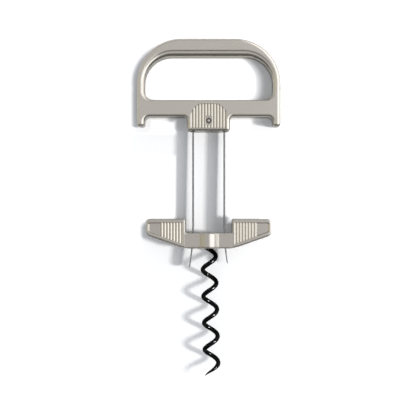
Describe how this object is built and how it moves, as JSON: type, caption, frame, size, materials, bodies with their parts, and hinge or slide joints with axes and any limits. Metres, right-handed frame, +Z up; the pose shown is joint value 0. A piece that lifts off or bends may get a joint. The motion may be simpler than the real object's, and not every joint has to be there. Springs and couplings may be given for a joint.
{
  "type": "prong corkscrew",
  "caption": "Two-part cork puller: a D handle with two thin spring prongs, and a winged handle with a coated worm that slides along the prongs.",
  "frame": {"origin": "on the table, under the middle of the tool's outline as it lies on its back", "axes": "+Y from the worm's point towards the top of the D handle, +Z up from the table, +X across the tool"},
  "size_m": [0.0818, 0.1924, 0.0148],
  "materials": {
    "handle_casting": "satin nickel plate on a zinc casting",
    "spring_steel": "fine ground spring steel strip",
    "block_casting": "bare zinc casting",
    "pin_steel": "turned steel with rounded ends",
    "worm_coat": "smooth black non-stick coat on a steel wire"
  },
  "bodies": {
    "puller": {"d_handle": "handle_casting", "long_prong": "spring_steel", "short_prong": "spring_steel", "prong_block": "block_casting", "prong_pin": "pin_steel"},
    "worm_carrier": {"worm_handle": "handle_casting", "worm": "worm_coat", "worm_pin": "pin_steel"}
  },
  "joints": [
    {"name": "worm_carrier_slide", "type": "slide", "parent": "puller", "child": "worm_carrier", "axis": [0, 1, 0], "range_m": [-0.021, 0.0573]}
  ]
}
